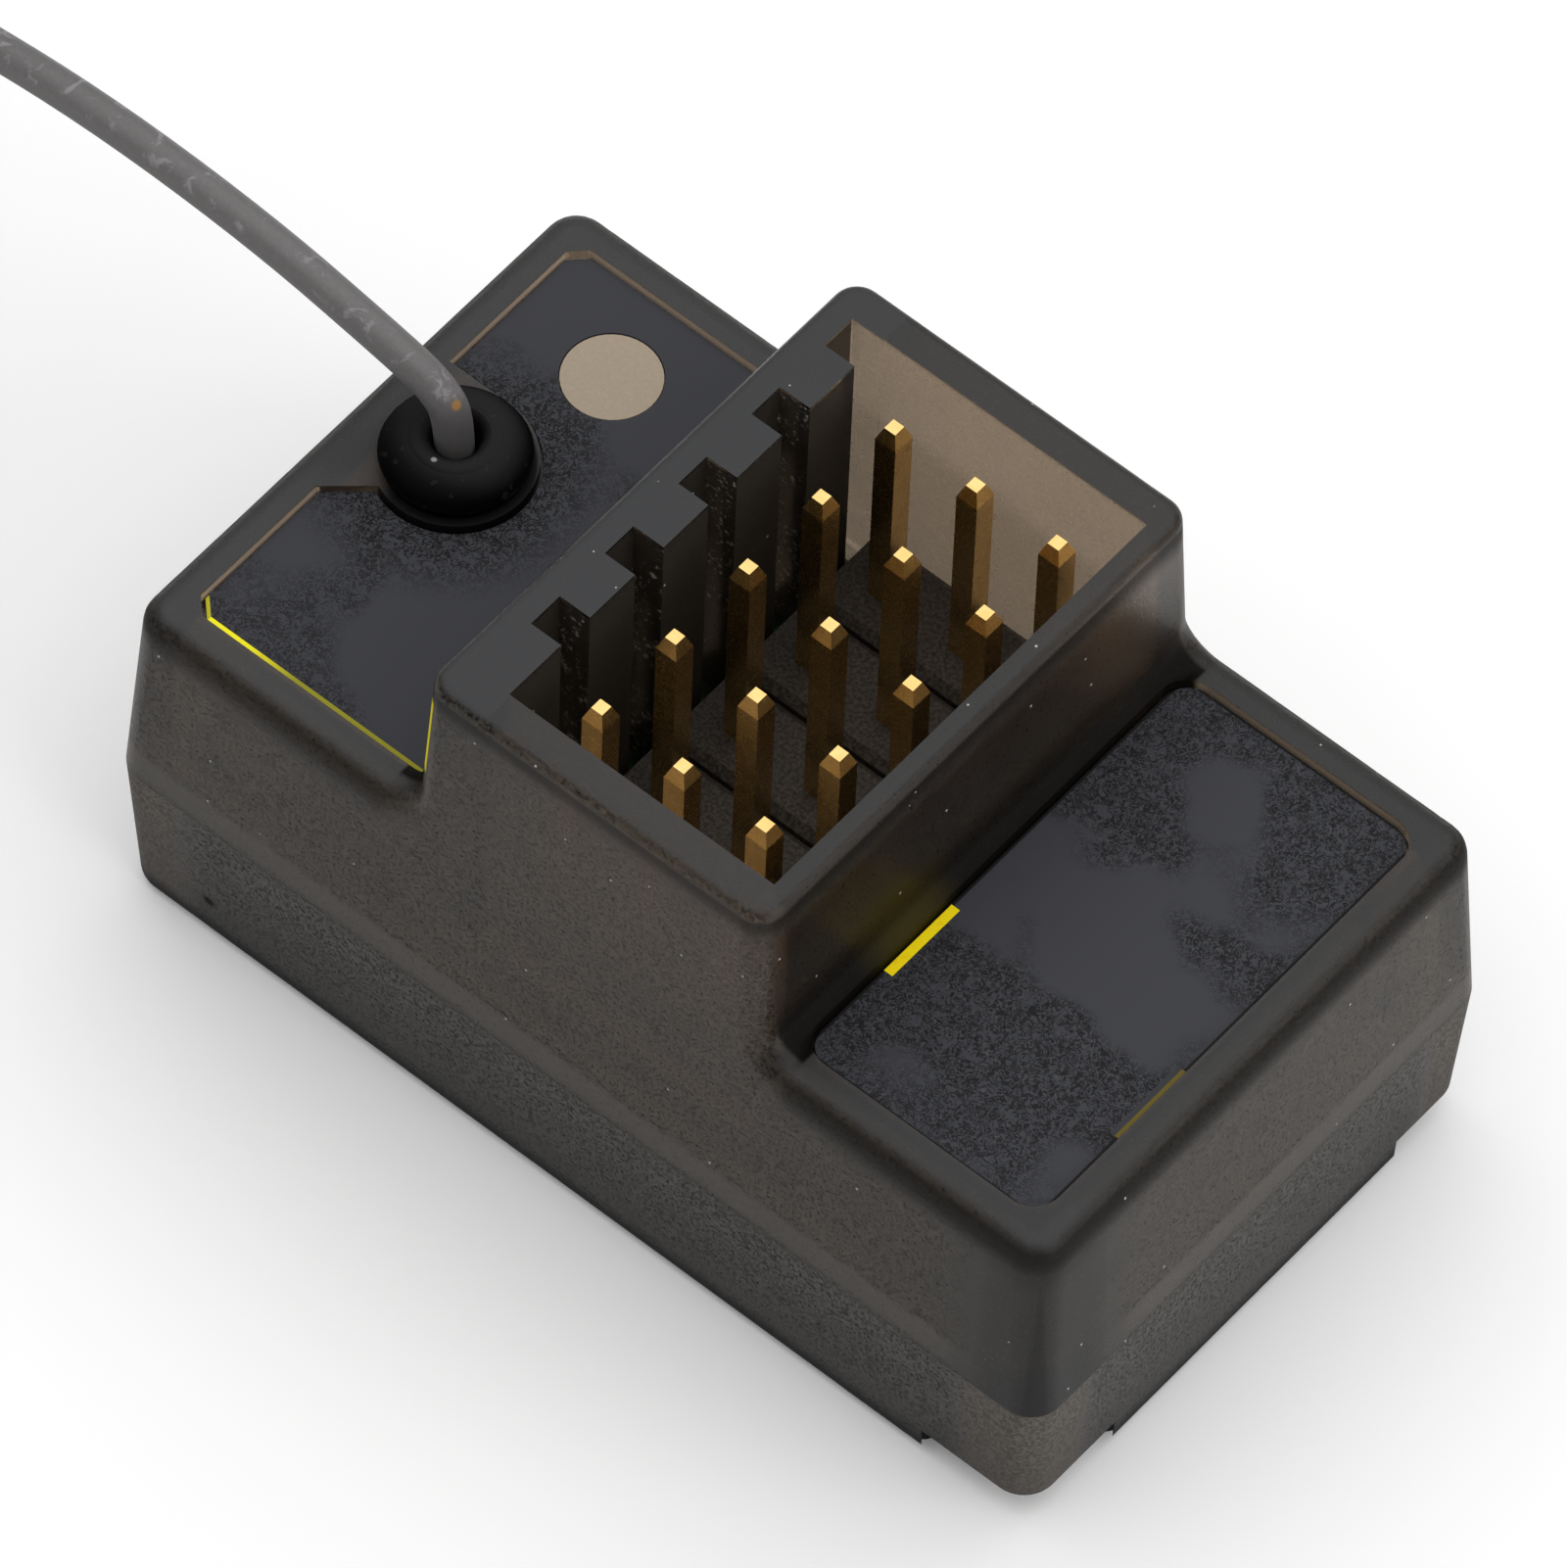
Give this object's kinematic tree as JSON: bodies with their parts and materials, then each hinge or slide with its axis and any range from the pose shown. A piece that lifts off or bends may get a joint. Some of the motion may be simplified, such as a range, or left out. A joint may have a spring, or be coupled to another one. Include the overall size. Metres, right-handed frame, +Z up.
{
  "type": "rc receiver",
  "caption": "Small smoked-plastic radio control receiver with a central tower of servo ports, a label pocket at each end and a wire antenna leaving through a rubber grommet",
  "frame": {"origin": "Middle of the flat base that the body rests on, measured without the antenna", "axes": "+Z up, +X along the long side towards the deck without the antenna, +Y along the short side, away from the viewer of the picture"},
  "size_m": [0.0522, 0.0234, 0.0167],
  "materials": {
    "smoked_shell": "smoked translucent plastic with a fine moulded grain",
    "board_laminate": "glass-fibre board with green solder mask",
    "header_black": "moulded black",
    "pin_gold": "gold plated",
    "solder": "tin solder",
    "chip_black": "moulded black",
    "crystal_can": "metal lid",
    "capacitor_tan": "fired ceramic",
    "led_lens": "clear resin",
    "label_slate": "dark slate label film with a leathery grain",
    "label_yellow": "printed yellow",
    "window_diffuser": "frosted light window",
    "grommet_rubber": "moulded black rubber",
    "cable_sheath": "soft grey cable sheath",
    "bare_core": "inner insulation of the antenna"
  },
  "bodies": {
    "root": {"upper_shell": "smoked_shell", "lower_shell": "smoked_shell", "circuit_board": "board_laminate", "header_strip_1": "header_black", "header_strip_2": "header_black", "header_strip_3": "header_black", "header_strip_4": "header_black", "header_strip_5": "header_black", "signal_pin_1": "pin_gold", "signal_pin_2": "pin_gold", "signal_pin_3": "pin_gold", "signal_pin_4": "pin_gold", "signal_pin_5": "pin_gold", "power_pin_1": "pin_gold", "power_pin_2": "pin_gold", "power_pin_3": "pin_gold", "power_pin_4": "pin_gold", "power_pin_5": "pin_gold", "ground_pin_1": "pin_gold", "ground_pin_2": "pin_gold", "ground_pin_3": "pin_gold", "ground_pin_4": "pin_gold", "ground_pin_5": "pin_gold", "pin_solder": "solder", "antenna_solder": "solder", "radio_chip": "chip_black", "microcontroller": "chip_black", "voltage_regulator": "chip_black", "crystal": "crystal_can", "ceramic_capacitors": "capacitor_tan", "status_led": "led_lens", "outer_label": "label_slate", "antenna_label": "label_slate", "outer_label_band": "label_yellow", "antenna_label_edge": "label_yellow", "light_window": "window_diffuser", "antenna_grommet": "grommet_rubber", "antenna_lead": "cable_sheath", "antenna_coil": "cable_sheath", "antenna_tip": "bare_core"}
  },
  "joints": []
}
